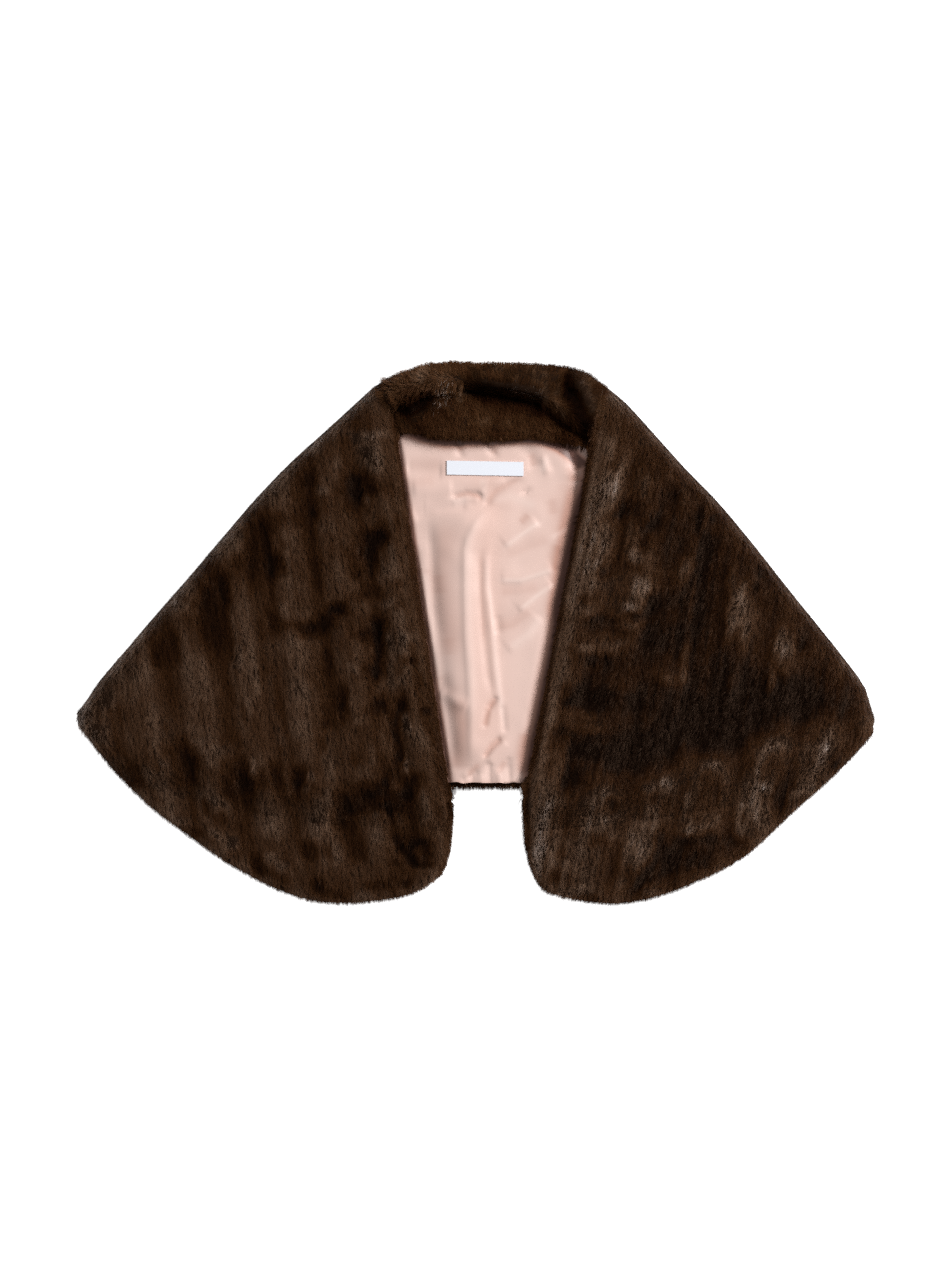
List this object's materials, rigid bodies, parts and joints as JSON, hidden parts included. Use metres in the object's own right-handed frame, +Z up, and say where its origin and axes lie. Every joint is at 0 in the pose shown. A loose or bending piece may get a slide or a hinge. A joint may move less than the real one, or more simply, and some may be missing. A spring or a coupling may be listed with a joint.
{
  "type": "fur collar wrap",
  "caption": "Short fur shoulder wrap with a rolled collar, laid flat with both fronts folded over its satin-lined back.",
  "frame": {"origin": "on the surface the wrap lies on, below the middle of its outline", "axes": "+X across the wrap from one shoulder point to the other, +Y from the hem to the collar, +Z up, away from the surface"},
  "size_m": [0.78, 0.532, 0.036],
  "materials": {
    "brown_fur": "dense glossy pile, dark brown with long lighter strips",
    "rose_satin": "smooth satin, softly glossy",
    "white_tape": "tightly woven matt tape"
  },
  "bodies": {
    "root": {"back_panel": "brown_fur", "left_front": "brown_fur", "right_front": "brown_fur", "collar_fall": "brown_fur", "collar_stand": "brown_fur", "back_lining": "rose_satin", "neck_label": "white_tape"}
  },
  "joints": []
}
